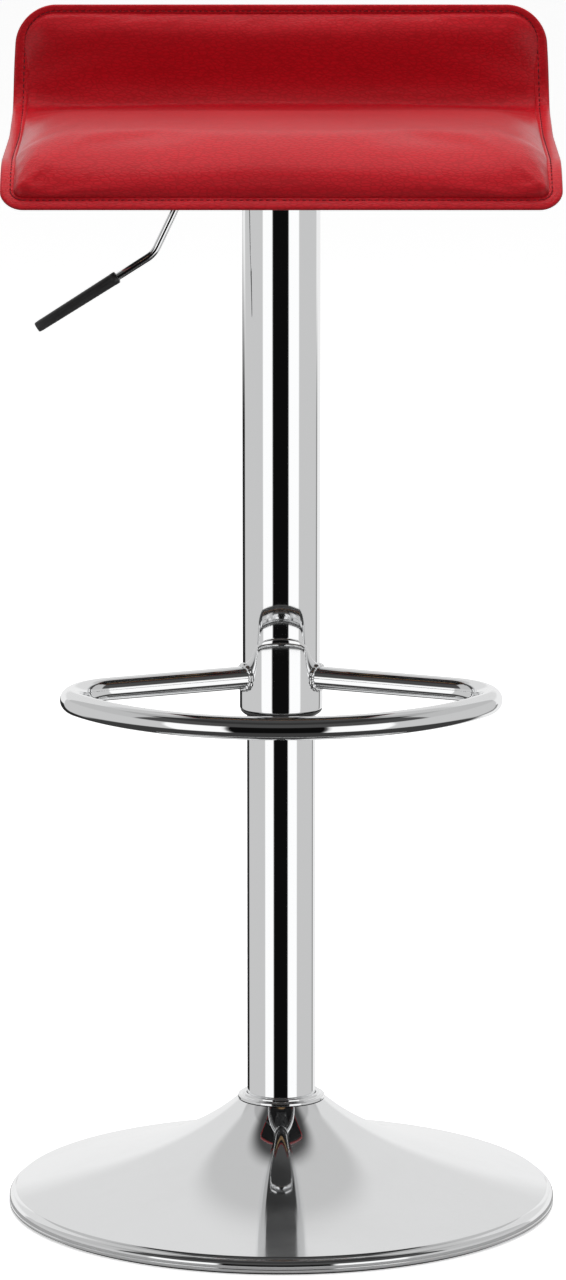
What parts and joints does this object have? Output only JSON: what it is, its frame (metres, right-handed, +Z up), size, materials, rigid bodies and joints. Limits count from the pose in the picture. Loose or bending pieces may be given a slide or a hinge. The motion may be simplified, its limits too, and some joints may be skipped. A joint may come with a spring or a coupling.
{
  "type": "adjustable swivel stool",
  "caption": "Gas-lift bar stool: round trumpet base, column with sliding sleeve, looped footrest, side lever, and a padded seat bent up into a low back lip.",
  "frame": {"origin": "on the floor, under the middle of the whole stool, on the column's axis", "axes": "+Z up along the column; -Y towards the front edge of the seat and the footrest; +X to the right when looking at the front"},
  "size_m": [0.385, 0.3905, 0.8378],
  "materials": {
    "chrome": "mirror-polished chrome plate",
    "bare_steel": "machined, zinc-bright steel",
    "black_steel": "satin black paint",
    "black_rubber": "matt black rubber",
    "black_plastic": "satin black moulded plastic",
    "nylon": "natural nylon",
    "plywood": "unfinished bent plywood",
    "foam": "open-cell seat foam",
    "red_leatherette": "fine-grained, softly glossy red leatherette",
    "black_cloth": "black felted base cloth"
  },
  "bodies": {
    "base": {"base_dish": "chrome", "base_floor_ring": "black_rubber", "base_ballast_plate": "black_steel", "column_socket": "bare_steel", "neck_collar": "chrome", "column_tube": "chrome", "column_end_plate": "bare_steel", "bearing_race_lower": "bare_steel", "column_guide_bush": "nylon"},
    "rod": {"piston_rod": "bare_steel", "rod_retaining_clip": "bare_steel", "rod_washer": "bare_steel", "bearing_ball_cage": "nylon", "bearing_race_upper": "bare_steel", "rubber_buffer": "black_rubber", "piston": "bare_steel", "piston_seal": "black_rubber", "piston_nut": "bare_steel"},
    "seat": {"pressure_tube": "black_steel", "pressure_tube_gland": "nylon", "valve_body": "bare_steel", "sleeve_tube": "chrome", "sleeve_end_ring": "black_plastic", "sleeve_top_cap": "black_plastic", "seat_hub": "bare_steel", "footrest_ring": "chrome", "footrest_saddle": "chrome", "lever_bracket": "black_steel", "seat_plate": "black_steel", "seat_screw_1": "bare_steel", "seat_screw_2": "bare_steel", "seat_screw_3": "bare_steel", "seat_screw_4": "bare_steel", "seat_cover_top": "red_leatherette", "seat_cover_bottom": "black_cloth", "seat_foam": "foam", "seat_board": "plywood"},
    "lever": {"lever_rod": "chrome", "lever_grip": "black_plastic", "lever_pivot_block": "black_plastic"},
    "valve": {"release_pin": "bare_steel"}
  },
  "joints": [
    {"name": "seat_swivel", "type": "hinge", "parent": "base", "child": "rod", "pos_m": [0, 0, 0.02], "axis": [0, 0, 1], "continuous": true},
    {"name": "seat_lift", "type": "slide", "parent": "rod", "child": "seat", "axis": [0, 0, 1], "range_m": [-0.21, 0]},
    {"name": "lever_pivot", "type": "hinge", "parent": "seat", "child": "lever", "pos_m": [-0.038, 0, 0.7215], "axis": [0, 1, 0], "range_deg": [0, 5], "stiffness_Nm_per_rad": 8, "springref_deg": -2.86},
    {"name": "release_pin_slide", "type": "slide", "parent": "seat", "child": "valve", "axis": [0, 0, -1], "range_m": [0, 0.0034]}
  ],
  "couplings": [
    {"joint": "release_pin_slide", "follows": "lever_pivot", "m_per_rad": 0.038}
  ]
}
